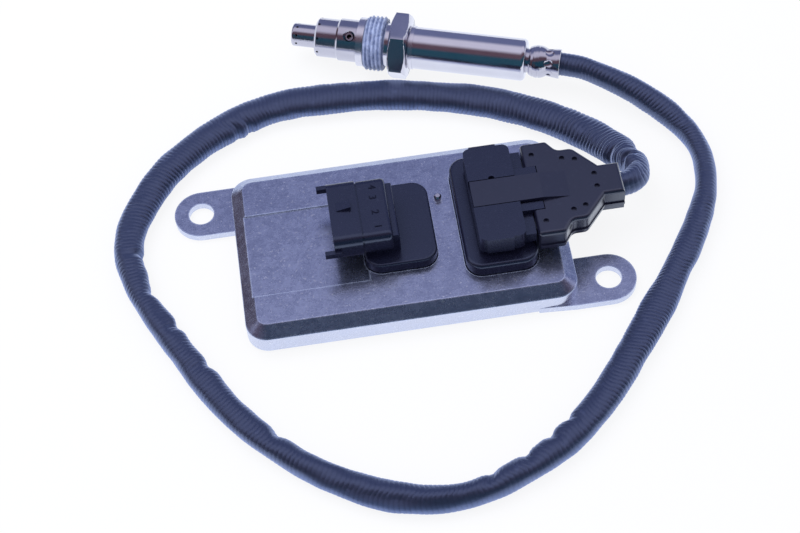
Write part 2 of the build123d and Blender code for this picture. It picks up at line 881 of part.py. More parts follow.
probe_plane = Plane(origin=along_probe(0), x_dir=(cos(turn), sin(turn), 0), z_dir=(0, 0, 1))
probe_axis = Axis(along_probe(0), (cos(turn), sin(turn), 0))


def across_probe(distance):
    """The plane across the probe's axis there, its own y pointing up."""
    return Plane(origin=along_probe(distance), x_dir=(-sin(turn), cos(turn), 0), z_dir=(cos(turn), sin(turn), 0))


def turned(profile, mode=Mode.ADD):
    """A piece turned about the probe's axis, from points of distance along it and radius."""
    with BuildSketch(probe_plane) as section:
        with BuildLine():
            Polyline(*profile, close=True)
        make_face()
    revolve(section.sketch, axis=probe_axis, mode=mode)


def ring(start, end, outer, inner=0.0, mode=Mode.ADD):
    """A plain ring or disc about the probe's axis."""
    turned([(start, inner), (end, inner), (end, outer), (start, outer)], mode)


def outward(distance, angle):
    """The direction away from the probe's axis at that angle around it, in degrees."""
    centre = across_probe(distance)
    return centre.x_dir * cos(radians(angle)) + centre.y_dir * sin(radians(angle))


def radial_turned(distance, angle, profile, mode=Mode.ADD):
    """A piece turned about a line that stands out from the probe's axis, from points of reach and radius."""
    direction = outward(distance, angle)
    with BuildSketch(Plane(origin=along_probe(distance), x_dir=direction, z_dir=probe_axis.direction)) as section:
        with BuildLine():
            Polyline(*profile, close=True)
        make_face()
    revolve(section.sketch, axis=Axis(along_probe(distance), direction), mode=mode)


def radial_holes(distance, count, radius, reach, first_angle=0.0):
    """Round holes through a tube's wall, evenly spaced around it."""
    for index in range(count):
        direction = outward(distance, first_angle + index * 360 / count)
        with BuildSketch(Plane(origin=along_probe(distance), z_dir=direction)) as hole:
            Circle(radius)
        extrude(hole.sketch, amount=reach, mode=Mode.SUBTRACT)


def element_slot(start, end):
    """The slot that a ceramic piece leaves for the sensing element."""
    with BuildSketch(across_probe(start)) as slot:
        Rectangle(element_width + 2 * element_play, element_thickness + 2 * element_play)
    extrude(slot.sketch, amount=end - start, mode=Mode.SUBTRACT)


# Places along the probe's axis
hex_front = -hex_length / 2
hex_back = hex_length / 2
thread_back = hex_front - relief_length
thread_front = thread_back - thread_length
collar_back = thread_front - collar_gap
collar_front = collar_back - collar_length
ring_front = hex_back + rear_ring_gap
ring_back = ring_front + rear_ring_length
sleeve_end = ring_back + sleeve_length
outer_tube_front = collar_front - outer_tube_length
nose_front = outer_tube_front - nose_length
ferrule_start = sleeve_end + ferrule_neck_length - sleeve_wall
ferrule_end = ferrule_start + ferrule_length
cable_end = ferrule_end - ferrule_mouth_depth

# Union nut, threaded in front and hexagonal behind
with BuildPart() as union_nut:
    turned([
        (thread_front, 0),
        (thread_front, thread_radius - thread_chamfer),
        (thread_front + thread_chamfer, thread_radius),
        (thread_back - nut_chamfer, thread_radius),
        (thread_back, thread_radius - nut_chamfer),
        (thread_back, relief_radius),
        (hex_front, relief_radius),
        (hex_front, 0),
    ])
    with BuildSketch(across_probe(hex_front)):
        RegularPolygon(hex_across_flats / 2, 6, major_radius=False)
    extrude(amount=hex_length)
    # Both ends of the hexagon are turned off at the corners
    hex_corner = hex_across_flats / sqrt(3)
    chamfer_start = hex_across_flats / 2 - nut_chamfer / 2
    for edge, inwards in ((hex_front, 1), (hex_back, -1)):
        turned([
            (edge, chamfer_start),
            (edge, hex_corner + 1),
            (edge + inwards * (hex_corner + 1 - chamfer_start) / 2, hex_corner + 1),
        ], Mode.SUBTRACT)
    ring(thread_front, hex_back, shell_radius + nut_play, mode=Mode.SUBTRACT)
save(union_nut.part, "union_nut")

# Probe shell: the seat in front of the nut, the ring behind it and the spigot for the sleeve
with BuildPart() as probe_shell:
    ring(collar_front, ring_back, shell_radius)
    ring(collar_front, collar_back, collar_radius)
    ring(ring_front, ring_back, rear_ring_radius)
    ring(ring_back, ring_back + spigot_length, sleeve_radius - sleeve_wall)
    ring(collar_front + shell_lip, ring_back + spigot_length, shell_bore, mode=Mode.SUBTRACT)
    ring(collar_front, collar_front + shell_lip, shell_lip_radius, mode=Mode.SUBTRACT)
save(probe_shell.part, "probe_shell")

# Outer protection tube, stepped and open in front for the inner one
step_at = collar_front - (outer_tube_length - outer_tube_step)
with BuildPart() as outer_protection_tube:
    turned([
        (collar_front, outer_tube_radius),
        (step_at + outer_tube_blend, outer_tube_radius),
        (step_at, outer_tube_step_radius),
        (outer_tube_front + outer_tube_blend, outer_tube_step_radius),
        (outer_tube_front, outer_tube_step_radius - outer_tube_blend),
        (outer_tube_front, nose_radius + nose_mouth_clearance),
        (outer_tube_front + tube_wall, nose_radius + nose_mouth_clearance),
        (outer_tube_front + tube_wall, outer_tube_step_radius - tube_wall),
        (step_at, outer_tube_step_radius - tube_wall),
        (step_at + outer_tube_blend, outer_tube_radius - tube_wall),
        (collar_front, outer_tube_radius - tube_wall),
    ])
    # Dents pressed inwards, each with a hole in its floor
    floor = outer_tube_radius - dimple_depth
    for index in range(dimple_count):
        angle = dimple_first_angle + index * 360 / dimple_count
        radial_turned(collar_front - dimple_back, angle, [
            (floor - tube_wall, 0),
            (floor - tube_wall, dimple_floor_radius + tube_wall / 2),
            (outer_tube_radius - dimple_lap, dimple_radius + tube_wall / 2),
            (outer_tube_radius - dimple_lap, 0),
        ])
        radial_turned(collar_front - dimple_back, angle, [
            (floor, 0),
            (floor, dimple_floor_radius),
            (outer_tube_radius, dimple_radius),
            (outer_tube_radius + 1, dimple_radius),
            (outer_tube_radius + 1, 0),
        ], Mode.SUBTRACT)
    radial_holes(
        collar_front - dimple_back, dimple_count, dimple_hole_radius, outer_tube_radius + 1, dimple_first_angle
    )
    radial_holes(outer_tube_front + outer_gas_hole_back, gas_hole_count, gas_hole_radius, outer_tube_radius + 1)
save(outer_protection_tube.part, "outer_protection_tube")

# Inner protection tube, its closed end standing out in front
with BuildPart() as inner_protection_tube:
    ring(nose_front, collar_front, nose_radius)
    fillet(inner_protection_tube.faces().sort_by(probe_axis)[0].edges(), nose_end_round)
    ring(collar_front - nose_wall, collar_front, nose_flange_radius)
    ring(nose_front + nose_wall, collar_front, nose_radius - nose_wall, mode=Mode.SUBTRACT)
    radial_holes(nose_front + nose_gas_hole_back, gas_hole_count, gas_hole_radius, nose_radius + 1)
save(inner_protection_tube.part, "inner_protection_tube")

# Sensing element, a ceramic strip that runs through all the insulators
with BuildPart() as sensor_element:
    with BuildSketch(across_probe(element_front)):
        Rectangle(element_width, element_thickness)
    extrude(amount=element_end - element_front)
save(sensor_element.part, "sensor_element")

with BuildPart() as front_insulator:
    ring(collar_front + shell_lip, front_insulator_end, shell_bore)
    element_slot(collar_front + shell_lip, front_insulator_end)
save(front_insulator.part, "front_insulator")

with BuildPart() as talc_seal:
    ring(front_insulator_end, talc_end, shell_bore)
    element_slot(front_insulator_end, talc_end)
save(talc_seal.part, "talc_seal")

with BuildPart() as rear_insulator:
    ring(talc_end, rear_insulator_end, shell_bore)
    element_slot(talc_end, rear_insulator_end)
save(rear_insulator.part, "rear_insulator")

# Holder that presses the contacts on the element's rear end
with BuildPart() as contact_holder:
    ring(contact_holder_start, contact_holder_end, contact_holder_radius)
    element_slot(contact_holder_start, element_end)
save(contact_holder.part, "contact_holder")

# Rear sleeve, a thin drawn tube with a rolled-in end
with BuildPart() as rear_sleeve:
    ring(ring_back, sleeve_end, sleeve_radius)
    fillet(rear_sleeve.faces().sort_by(probe_axis)[-1].edges(), sleeve_end_round)
    ring(ring_back, sleeve_end - sleeve_wall, sleeve_radius - sleeve_wall, mode=Mode.SUBTRACT)
    ring(sleeve_end - sleeve_wall, sleeve_end, ferrule_neck_radius + sleeve_hole_play, mode=Mode.SUBTRACT)
save(rear_sleeve.part, "rear_sleeve")

# Rubber grommet inside the sleeve's rear end
with BuildPart() as cable_grommet:
    ring(probe_grommet_start, sleeve_end - sleeve_wall, sleeve_radius - sleeve_wall, grommet_wire_radius)
save(cable_grommet.part, "cable_grommet")

# Crimped ferrule: a rolled bulge, the pressed dents behind it and the flared mouth around the cable
with BuildPart() as crimp_ferrule:
    with BuildSketch(probe_plane):
        with BuildLine():
            bulge = ThreePointArc(
                (ferrule_start, ferrule_shoulder),
                (ferrule_start + ferrule_bulge_run, ferrule_bulge),
                (ferrule_start + ferrule_waist_run, ferrule_waist),
            )
            Polyline(
                bulge @ 1,
                (ferrule_end - ferrule_rim_length, ferrule_rim),
                (ferrule_end, ferrule_rim),
                (ferrule_end, cable_diameter / 2 + cable_clearance),
                (cable_end, cable_diameter / 2 + cable_clearance),
                (cable_end, ferrule_bore),
                (sleeve_end - sleeve_wall, ferrule_bore),
                (sleeve_end - sleeve_wall, ferrule_neck_radius),
                (ferrule_start, ferrule_neck_radius),
                bulge @ 0,
            )
        make_face()
    revolve(axis=probe_axis)
    for run in ferrule_groove_runs:
        groove_start = ferrule_start + run
        turned([
            (groove_start, ferrule_groove_radius),
            (groove_start + ferrule_groove_width, ferrule_groove_radius),
            (groove_start + ferrule_groove_width, ferrule_bulge + 1),
            (groove_start, ferrule_bulge + 1),
        ], Mode.SUBTRACT)
    with Locations(across_probe(ferrule_start + crimp_run)):
        with PolarLocations(crimp_ring, crimp_count):
            Sphere(crimp_radius, mode=Mode.SUBTRACT)
save(crimp_ferrule.part, "crimp_ferrule")


def bend_radii(points):
    """One radius per inner point, as wide as the shorter run beside it allows."""
    radii = []
    for before, corner, after in zip(points, points[1:], points[2:]):
        run_in = Vector(*corner) - Vector(*before)
        run_out = Vector(*after) - Vector(*corner)
        bend = radians(run_in.get_angle(run_out))
        radii.append(0.45 * min(run_in.length, run_out.length) / tan(bend / 2))
    return radii


# Cable sleeve from the plug's neck to the ferrule
loop_spread = (ear_x + ear_radius) / chosen_reach
fold = [(header_x + x, y, z) for x, y, z in cable_fold]
wide_loop = [(x * loop_spread, y, z) for x, y, z in cable_loop]
route = fold + wide_loop + cable_rise + [along_probe(cable_end + last_run), along_probe(cable_end)]
radii = bend_radii(route)
print("bend radii:", [round(radius, 1) for radius in radii])
with BuildPart() as cable_sleeve:
    with BuildLine() as cable_path:
        FilletPolyline(*route, radius=radii)
    with BuildSketch(Plane(origin=route[0], z_dir=(1, 0, 0))):
        Circle(cable_diameter / 2)
    sweep(path=cable_path.wires()[0])
cable_length = cable_path.wires()[0].length
print("cable length:", round(cable_length, 1))
print("volume share:", round(cable_sleeve.part.volume / (cable_length * pi * cable_diameter**2 / 4), 4))
save(cable_sleeve.part, "cable_sleeve")
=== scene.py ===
import bpy
import bmesh
import math
import random
from mathutils import Matrix, Vector, noise


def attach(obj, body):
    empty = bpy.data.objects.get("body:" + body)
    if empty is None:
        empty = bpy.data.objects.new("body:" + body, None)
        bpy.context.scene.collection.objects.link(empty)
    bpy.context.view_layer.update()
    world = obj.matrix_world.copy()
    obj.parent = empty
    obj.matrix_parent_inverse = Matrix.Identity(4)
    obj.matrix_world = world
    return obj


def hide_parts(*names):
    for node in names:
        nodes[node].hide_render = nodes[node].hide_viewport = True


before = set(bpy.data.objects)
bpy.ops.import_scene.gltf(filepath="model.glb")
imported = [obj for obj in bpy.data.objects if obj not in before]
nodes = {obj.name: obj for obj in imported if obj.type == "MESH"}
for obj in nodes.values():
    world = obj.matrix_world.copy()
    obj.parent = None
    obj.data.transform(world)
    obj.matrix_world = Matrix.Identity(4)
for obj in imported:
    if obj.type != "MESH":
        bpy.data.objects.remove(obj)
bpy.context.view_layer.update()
mm = 0.001


# a wrapped shader socket, so that masks and heights are written as sums
class Wire:
    def __init__(self, shader, socket):
        self.shader, self.socket = shader, socket

    def maths(self, operation, first, second=0.0):
        return self.shader.node("ShaderNodeMath", {"operation": operation}, {0: first, 1: second})

    def __add__(self, other):
        return self.maths("ADD", self, other)

    def __radd__(self, other):
        return self.maths("ADD", other, self)

    def __sub__(self, other):
        return self.maths("SUBTRACT", self, other)

    def __rsub__(self, other):
        return self.maths("SUBTRACT", other, self)

    def __mul__(self, other):
        return self.maths("MULTIPLY", self, other)

    def __truediv__(self, other):
        return self.maths("DIVIDE", self, other)

    def over(self, edge, softness=0.0):  # 0 below the edge, 1 above it
        return self.shader.node("ShaderNodeMapRange", {"interpolation_type": "SMOOTHSTEP"},
                                {"Value": self, "From Min": edge - softness, "From Max": edge + softness + 1e-6})

    def within(self, low, high, softness):
        return self.over(low, softness) * (1 - self.over(high, softness))


# one material or world, with a single way to add any node
class Shader:
    def __init__(self, holder, end="ShaderNodeOutputMaterial"):
        self.holder = holder
        holder.use_nodes = True
        self.tree = holder.node_tree
        self.tree.nodes.clear()
        self.end = self.tree.nodes.new(end)

    def node(self, kind, settings=None, values=None, out=0):
        made = self.tree.nodes.new(kind)
        for name, setting in (settings or {}).items():
            if name == "stops":
                ramp = made.color_ramp
                while len(ramp.elements) < len(setting):
                    ramp.elements.new(0.5)
                for element, (place, colour) in zip(ramp.elements, setting):
                    element.position = place
                    element.color = tuple(colour) + (1.0,)
            else:
                setattr(made, name, setting)
        for name, value in (values or {}).items():
            self.feed(made.inputs[name], value)
        return Wire(self, made.outputs[out])

    def feed(self, target, value):
        if isinstance(value, Wire):
            self.tree.links.new(value.socket, target)
        elif hasattr(target.default_value, "__len__") and len(target.default_value) == 4 and len(value) == 3:
            target.default_value = tuple(value) + (1.0,)
        else:
            target.default_value = value

    def place(self):  # object coordinates, in metres
        return self.node("ShaderNodeTexCoord", out=3)

    def stretched(self, place, factors):
        return self.node("ShaderNodeVectorMath", {"operation": "MULTIPLY"}, {0: place, 1: factors})

    def along(self, place, axis):  # distance along an axis, in metres
        return self.node("ShaderNodeVectorMath", {"operation": "DOT_PRODUCT"}, {0: place, 1: axis}, out=1)

    def split(self, place):
        parts = self.node("ShaderNodeSeparateXYZ", values={0: place})
        return [Wire(self, output) for output in parts.socket.node.outputs]

    def grain(self, place, scale, detail=3.0, roughness=0.55):
        return self.node("ShaderNodeTexNoise", values={"Vector": place, "Scale": scale, "Detail": detail,
                                                       "Roughness": roughness})

    def blend(self, factor, first, second):
        return self.node("ShaderNodeMix", {"data_type": "RGBA"}, {0: factor, 6: first, 7: second}, out=2)

    def bump(self, height, strength, distance):
        return self.node("ShaderNodeBump", values={"Strength": strength, "Distance": distance, "Height": height})

    def finish(self, **values):
        body = self.node("ShaderNodeBsdfPrincipled")
        for name, value in values.items():
            self.feed(body.socket.node.inputs[name.replace("_", " ")], value)
        self.tree.links.new(body.socket, self.end.inputs[0])
        return self.holder


def newMaterial(name):
    return Shader(bpy.data.materials.new(name))


def dress(obj, material):
    obj.data.materials.clear()
    obj.data.materials.append(material)


# camera, at the photograph's place and angle
cameraPlace = {
    "at": (-0.0265, -0.3639, 0.52416),
    "right": (0.98892, -0.14027, -0.04853),
    "up": (0.14315, 0.81488, 0.56167),
    "ahead": (0.03924, 0.56239, -0.82594),
    "lens": 83.4,
    "sensor": 36,
    "clipStart": 0.01,
}
cameraData = bpy.data.cameras.new("photoCamera")
cameraData.lens = cameraPlace["lens"]
cameraData.sensor_width = cameraPlace["sensor"]
cameraData.clip_start = cameraPlace["clipStart"]
camera = bpy.data.objects.new("photoCamera", cameraData)
bpy.context.scene.collection.objects.link(camera)
columns = [Vector(cameraPlace["right"]), Vector(cameraPlace["up"]), -Vector(cameraPlace["ahead"])]
turned = Matrix([[column[row] for column in columns] for row in range(3)])
camera.matrix_world = Matrix.Translation(cameraPlace["at"]) @ turned.to_4x4()
bpy.context.scene.camera = camera
bpy.context.scene.view_settings.view_transform = "Standard"
print("camera placed")

# white studio: gloss sees a bright panel overhead, a slate wall behind and a dark teal room in front,
# and the diffuse light is dimmer from behind
studio = {
    "ambient": (0.84, 0.87, 1.00),
    "behind": (0.30, 0.32, 0.42),
    "horizon": (0.016, 0.065, 0.105),
    "room": (0.016, 0.072, 0.112),
    "edge": (0.120, 0.070, 0.095),
    "panel": (0.700, 0.680, 0.820),
    "wall": (0.165, 0.188, 0.345),
    "leftSide": (0.095, 0.055, 0.066),
    "overhead": [  # climb from the front over the top to the back, and the colour there
        (0.0, "horizon"), (0.09, "horizon"), (0.12, "room"), (0.25, "room"), (0.32, "edge"), (0.41, "edge"),
        (0.50, "panel"), (0.64, "panel"), (0.73, "wall"), (1.0, "wall"),
    ],
    "lampPower": 5.0,
    "lampSize": 0.9,
    "lampColour": (0.95, 0.96, 1.0),
    "lampPlace": (-0.35, 0.25, 0.95),
    "tableSize": 6.0,
    "tableHeight": -0.0002,
    "paper": (0.93, 0.93, 0.95),
    "clearTable": 0.86,  # share of plain white that the camera and the gloss see in the table
    "clearGloss": 0.95,
    "white": (1.0, 1.0, 1.0),
    "glossTint": (0.98, 1.03, 1.14),
}
bpy.context.scene.world = bpy.data.worlds.new("studio")
sky = Shader(bpy.context.scene.world, "ShaderNodeOutputWorld")
skyX, skyY, skyZ = sky.split(sky.node("ShaderNodeTexCoord", out=0))
climb = sky.node("ShaderNodeMath", {"operation": "ARCTAN2"}, {0: skyZ, 1: 0 - skyY}) / math.pi  # 0 in front, 1 behind
stops = [(place, studio[colour]) for place, colour in studio["overhead"]]
overhead = sky.node("ShaderNodeValToRGB", {"stops": stops}, {0: climb})
leftMask = (0 - skyX).over(0.55, 0.15) * (1 - skyZ.over(0.45, 0.15))
reflected = sky.blend(leftMask, overhead, studio["leftSide"])
skyRays = sky.node("ShaderNodeLightPath").socket.node.outputs
spread = sky.blend(climb.over(0.70, 0.10), studio["ambient"], studio["behind"])
seen = sky.blend(Wire(sky, skyRays["Is Glossy Ray"]), spread, reflected)
shown = sky.blend(Wire(sky, skyRays["Is Camera Ray"]), seen, studio["white"])
background = sky.node("ShaderNodeBackground", values={"Color": shown, "Strength": 1.0})
sky.tree.links.new(background.socket, sky.end.inputs[0])

lampData = bpy.data.lights.new("softbox", "AREA")
lampData.shape = "SQUARE"
lampData.size = studio["lampSize"]
lampData.energy = studio["lampPower"]
lampData.color = studio["lampColour"]
lamp = bpy.data.objects.new("softbox", lampData)
lamp.location = studio["lampPlace"]
lamp.rotation_mode = "QUATERNION"
lamp.rotation_quaternion = lamp.location.to_track_quat("Z", "Y")
lamp.visible_glossy = False
bpy.context.scene.collection.objects.link(lamp)


def tableFinish():
    s = newMaterial("whiteTable")
    rays = s.node("ShaderNodeLightPath").socket.node.outputs
    paper = s.node("ShaderNodeBsdfDiffuse", values={"Color": studio["paper"]})
    gloss = Wire(s, rays["Is Glossy Ray"])
    clear = s.node("ShaderNodeEmission", values={
        "Color": s.blend(gloss, studio["white"], studio["glossTint"]), "Strength": 1.0})
    share = Wire(s, rays["Is Camera Ray"]) * studio["clearTable"] + gloss * studio["clearGloss"]
    mixed = s.node("ShaderNodeMixShader", values={0: share, 1: paper, 2: clear})
    s.tree.links.new(mixed.socket, s.end.inputs[0])
    return s.holder


bpy.ops.object.select_all(action="DESELECT")
bpy.ops.mesh.primitive_plane_add(size=studio["tableSize"], location=(0, 0, studio["tableHeight"]))
tableTop = bpy.context.object
tableTop.name = "tableTop"
dress(tableTop, tableFinish())
print("studio lit")

# cable, a loose ribbed sleeve that lies flattened on the table
cable = {
    "route": [  # in mm, near the corners of part.py's path, so that the smooth line follows the solid
        (73.1, 0.5, 18.8), (77.4, 0.5, 18.8), (81.4, 2.6, 18.0), (83.3, 6.6, 16.2), (83.4, 11.5, 13.8),
        (82.0, 17.0, 10.8), (78.4, 24.7, 7.4), (71.0, 35.4, 5.0), (56.6, 47.1, 4.2), (38.2, 56.7, 4.2),
        (15.9, 63.3, 4.2), (-9.0, 67.3, 4.2), (-33.0, 68.1, 4.2), (-54.3, 61.7, 4.2), (-71.1, 51.2, 4.2),
        (-84.4, 36.6, 4.2), (-93.7, 17.8, 4.2), (-92.2, -2.2, 4.2), (-83.6, -20.6, 4.2), (-73.5, -40.3, 4.2),
        (-61.4, -61.1, 4.2), (-44.4, -79.7, 4.2), (-21.8, -94.3, 4.2), (2.9, -101.0, 4.2), (25.0, -94.7, 4.2),
        (44.7, -83.3, 4.2), (59.9, -67.9, 4.2), (72.5, -51.4, 4.2), (85.2, -34.0, 4.2), (97.8, -16.0, 4.2),
        (107.9, 3.7, 4.2), (109.9, 23.6, 4.4), (101.4, 38.9, 5.8), (90.5, 48.9, 8.4), (79.6, 56.6, 10.6),
        (72.393, 61.107, 11.0), (65.766, 63.363, 11.0),
    ],
    "length": 0.635,
    "diameter": 0.0084,
    "around": 32,
    "rowsPerRib": (0.0, 0.13, 0.30, 0.50, 0.70, 0.87),
    "shape": [  # share of the length, half width, half height, in mm
        (0.0, 4.1, 4.1), (0.02, 4.2, 4.4), (0.035, 4.8, 4.7), (0.05, 6.2, 4.9), (0.08, 6.7, 4.4), (0.11, 6.4, 4.0),
        (0.16, 6.1, 3.9), (0.23, 6.4, 3.9), (0.30, 6.0, 4.0), (0.36, 5.7, 4.0), (0.385, 5.2, 4.1), (0.405, 4.2, 4.2),
        (0.42, 4.0, 4.2), (0.44, 4.6, 4.1), (0.46, 4.4, 4.1), (0.48, 5.0, 4.0), (0.505, 4.5, 4.0), (0.54, 4.4, 3.9),
        (0.57, 4.7, 3.8), (0.60, 5.2, 3.8), (0.62, 4.6, 3.9), (0.64, 4.0, 4.0), (0.66, 4.3, 4.0), (0.70, 4.9, 3.9),
        (0.75, 5.3, 3.8), (0.79, 5.7, 3.8), (0.82, 4.9, 4.0), (0.85, 4.5, 4.1), (0.88, 3.7, 4.2), (0.90, 3.8, 4.2),
        (0.93, 4.7, 4.2), (0.96, 4.6, 4.2), (0.98, 4.3, 4.2), (1.0, 4.1, 4.1),
    ],
    "ribs": [  # share of the length, pitch and depth, in mm
        (0.0, 1.5, 0.24), (0.06, 1.65, 0.34), (0.20, 1.45, 0.20), (0.40, 1.5, 0.19), (0.50, 1.5, 0.18),
        (0.62, 1.6, 0.20), (0.70, 1.6, 0.22), (0.76, 1.4, 0.20), (0.88, 1.35, 0.18), (0.94, 1.45, 0.24),
        (1.0, 1.4, 0.18),
    ],
    "pinches": [  # share, angle from the outer side over the top, depth in mm, run in mm, spread in degrees
        (0.029, 118, 3.4, 1.0, 20), (0.036, 70, 1.2, 1.5, 26), (0.020, 140, 1.4, 1.2, 30), (0.045, 150, 1.5, 1.2, 36),
        (0.010, 28, 0.7, 7.0, 7), (0.012, 52, 0.6, 7.0, 7), (0.015, 78, 0.5, 6.0, 7), (0.040, 20, 1.0, 2.0, 25),
        (0.275, 165, 1.0, 1.1, 42), (0.283, 160, 0.8, 1.1, 42), (0.403, 160, -1.5, 2.8, 28),
        (0.391, 150, 1.1, 1.0, 42), (0.418, 165, 1.5, 1.6, 46), (0.4455, 165, 1.4, 1.7, 44),
        (0.476, 165, 1.3, 1.8, 44), (0.5345, 160, 1.4, 1.9, 44), (0.6545, 160, 1.5, 1.8, 44),
        (0.676, 160, 1.3, 1.5, 42), (0.694, 160, 1.2, 1.5, 42), (0.7085, 160, 1.0, 1.3, 42),
        (0.604, 50, 1.5, 20.0, 20), (0.440, 112, 1.0, 9.0, 16), (0.36, 80, 0.6, 14.0, 16), (0.80, 70, 0.7, 16.0, 20),
    ],
    # share, how much of the ribs is pressed flat on the outer side
    "pressed": [(0.0, 0.0), (0.40, 0.0), (0.47, 0.55), (0.68, 0.55), (0.75, 0.1), (1.0, 0.0)],
    "pressedTone": 0.7,
    "bulge": 0.40,  # rise beside each pinch, as a share of its depth
    "bulgeRun": 3.2,  # in runs of the pinch
    "pinchReach": 8,
    # waves along the path in 1/m, waves around it, and their size in mm
    "dent": (45, 0.7, 0.50),
    "crease": (170, 1.1, 0.24),
    "lean": (28, 0.9, 1.3),
    "uneven": (320, 1.6, 0.8),  # its size is a share of the rib's depth
    "even": 0.75,
    "calmEnd": 8,  # mm at each end over which the dents grow in
    "middleRadius": 5,
    "pitchSpread": (0.90, 1.10),
    "depthSpread": (0.65, 1.30),
    "ribPower": 0.7,
    "lastDepth": 0.2,
    "lowest": 0.0001,  # in metres
    "seed": 7,
}


def between(table, at):
    for low, high in zip(table, table[1:]):
        if at <= high[0]:
            share = (at - low[0]) / (high[0] - low[0])
            share = share * share * (3 - 2 * share)
            return [a + (b - a) * share for a, b in zip(low[1:], high[1:])]
    return list(table[-1][1:])


def smoothLine(name, points):
    data = bpy.data.curves.new(name, "CURVE")
    data.dimensions = "3D"
    data.resolution_u = 24
    spline = data.splines.new("NURBS")
    spline.points.add(len(points) - 1)
    for point, place in zip(spline.points, points):
        point.co = (place[0] * mm, place[1] * mm, place[2] * mm, 1)
    spline.order_u = 3
    spline.use_endpoint_u = True
    line = bpy.data.objects.new(name, data)
    bpy.context.scene.collection.objects.link(line)
    bpy.context.view_layer.update()
    mesh = bpy.data.meshes.new_from_object(line.evaluated_get(bpy.context.evaluated_depsgraph_get()))
    path = [vertex.co.copy() for vertex in mesh.vertices]
    bpy.data.objects.remove(line)
    bpy.data.meshes.remove(mesh)
    return path


# where each row of the sleeve lies, how high it stands on its rib, and how deep that rib is
def ribRows(values, total):
    chance = random.Random(values["seed"])
    rows, at = [], 0.0
    while at < total:
        pitch, depth = between(values["ribs"], at / total)
        pitch *= mm * chance.uniform(*values["pitchSpread"])
        depth *= chance.uniform(*values["depthSpread"])
        for share in values["rowsPerRib"]:
            raised = math.sin(math.pi * share) ** values["ribPower"] if share else 0.0
            rows.append((min(at + share * pitch, total), raised, depth))
        at += pitch
    rows.append((total, 0.0, values["lastDepth"]))
    return [row for row, after in zip(rows, rows[1:] + [(total * 2, 0, 0)]) if after[0] - row[0] > 1e-6]


def waver(values, kind, centre, turn):
    along, around, size = values[kind]
    return noise.noise(centre * along + turn * around) * size


def pinched(values, grow, at, total, angle):
    for where, over, deep, run, spread in values["pinches"]:
        if abs(at - where * total) < run * values["pinchReach"] * mm:
            away = (at - where * total) / (run * mm)
            off = (math.degrees(angle) - over + 180) % 360 - 180
            near = math.exp(-0.5 * (off / spread) ** 2)
            bulge = values["bulge"] * math.exp(-0.5 * (away / values["bulgeRun"]) ** 2)
            grow -= deep * near * (math.exp(-0.5 * away ** 2) - bulge)
    return grow


# one loop of points around the path, each with its height on the rib
def sleeveLoop(values, row, total, centre, along):
    at, raised, depth = row
    side = along.cross(Vector((0, 0, 1))).normalized()
    top = side.cross(along)
    wide, high = between(values["shape"], at / total)
    flat = between(values["pressed"], at / total)[0]
    calm = min(1.0, min(at, total - at) / (values["calmEnd"] * mm))
    points = []
    for k in range(values["around"]):
        angle = 2 * math.pi * k / values["around"]
        turn = Vector((math.cos(angle), math.sin(angle), 0))
        out = side * turn.x * wide + top * turn.y * high
        pressed = flat * max(0.0, turn.x)
        uneven = values["even"] + waver(values, "uneven", centre, turn)
        grow = (waver(values, "dent", centre, turn) + waver(values, "crease", centre, turn)) * calm
        grow = pinched(values, grow + (raised - 1) * depth * uneven * (1 - pressed), at, total, angle)
        lean = waver(values, "lean", centre, turn) * calm
        spot = centre + out * (1 + grow / values["middleRadius"]) * mm + along * lean * mm
        spot.z = max(spot.z, values["lowest"])
        points.append((spot, raised + (values["pressedTone"] - raised) * pressed))
    return points


def ribbedSleeve(name, values):
    path = smoothLine(name + "Line", values["route"])
    reach = [0.0]
    for before, after in zip(path, path[1:]):
        reach.append(reach[-1] + (after - before).length)
    total = reach[-1]
    rows, around = ribRows(values, total), values["around"]
    mesh = bmesh.new()
    chart = mesh.loops.layers.uv.new("sleeve")
    crest = mesh.verts.layers.float.new("crest")
    loops, step = [], 0
    for row in rows:
        while step < len(path) - 2 and reach[step + 1] < row[0]:
            step += 1
        share = (row[0] - reach[step]) / (reach[step + 1] - reach[step])
        centre = path[step].lerp(path[step + 1], share)
        along = (path[min(step + 2, len(path) - 1)] - path[max(step - 1, 0)]).normalized()
        loop = []
        for spot, tone in sleeveLoop(values, row, total, centre, along):
            vertex = mesh.verts.new(spot)
            vertex[crest] = tone
            loop.append(vertex)
        loops.append(loop)
    for ring in range(len(rows) - 1):
        for k in range(around):
            after = (k + 1) % around
            face = mesh.faces.new((loops[ring][k], loops[ring + 1][k], loops[ring + 1][after], loops[ring][after]))
            face.smooth = True
            corners = [(k, ring), (k, ring + 1), (k + 1, ring + 1), (k + 1, ring)]
            for corner, (u, v) in zip(face.loops, corners):
                corner[chart].uv = (u / around, rows[v][0] / total)
    mesh.faces.new(list(reversed(loops[0])))
    mesh.faces.new(loops[-1])
    bmesh.ops.recalc_face_normals(mesh, faces=mesh.faces)
    data = bpy.data.meshes.new(name)
    mesh.to_mesh(data)
    mesh.free()
    sleeve = bpy.data.objects.new(name, data)
    bpy.context.scene.collection.objects.link(sleeve)
    return sleeve, path, total


sleeve, sleevePath, sleeveTotal = ribbedSleeve("ribbedSleeve", cable)
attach(sleeve, "unit")
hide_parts("cable_sleeve")
sleeve.visible_glossy = False  # keeps a dark stripe out of the probe's polish, as in the photograph
print("cable laid", round(sleeveTotal, 4), len(sleeve.data.polygons))


